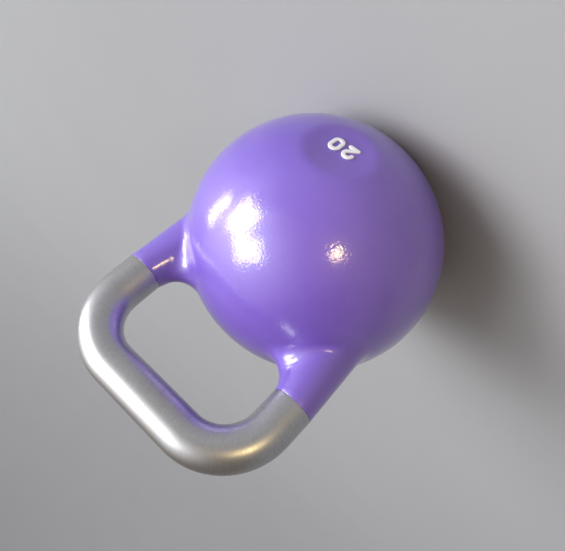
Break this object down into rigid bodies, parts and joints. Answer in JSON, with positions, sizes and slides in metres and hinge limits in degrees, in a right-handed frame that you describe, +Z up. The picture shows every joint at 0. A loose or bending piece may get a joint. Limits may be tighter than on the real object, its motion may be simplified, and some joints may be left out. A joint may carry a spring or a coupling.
{
  "type": "kettlebell",
  "caption": "Kettlebell with a painted hollow ball, cast horns and a bare bent steel bar as its grip, filled with ballast through a plugged base.",
  "frame": {"origin": "middle of the flat base, on the surface that the kettlebell stands on", "axes": "+Z up from the base through the handle, +X to the right of someone who reads the number, -Y out of the face that carries the number"},
  "size_m": [0.21, 0.2091, 0.2798],
  "materials": {
    "purple_paint": "gloss",
    "bare_steel": "satin",
    "white_paint": "satin",
    "ballast": "matte",
    "plug_steel": "satin",
    "seal_rubber": "matte"
  },
  "bodies": {
    "root": {"ball_shell": "purple_paint", "horn_left": "purple_paint", "horn_right": "purple_paint", "handle_bar": "bare_steel", "handle_weld_left": "purple_paint", "handle_weld_right": "purple_paint", "ballast_fill": "ballast", "base_plug": "plug_steel", "plug_seal": "seal_rubber", "digit_two": "white_paint", "digit_zero": "white_paint"}
  },
  "joints": []
}
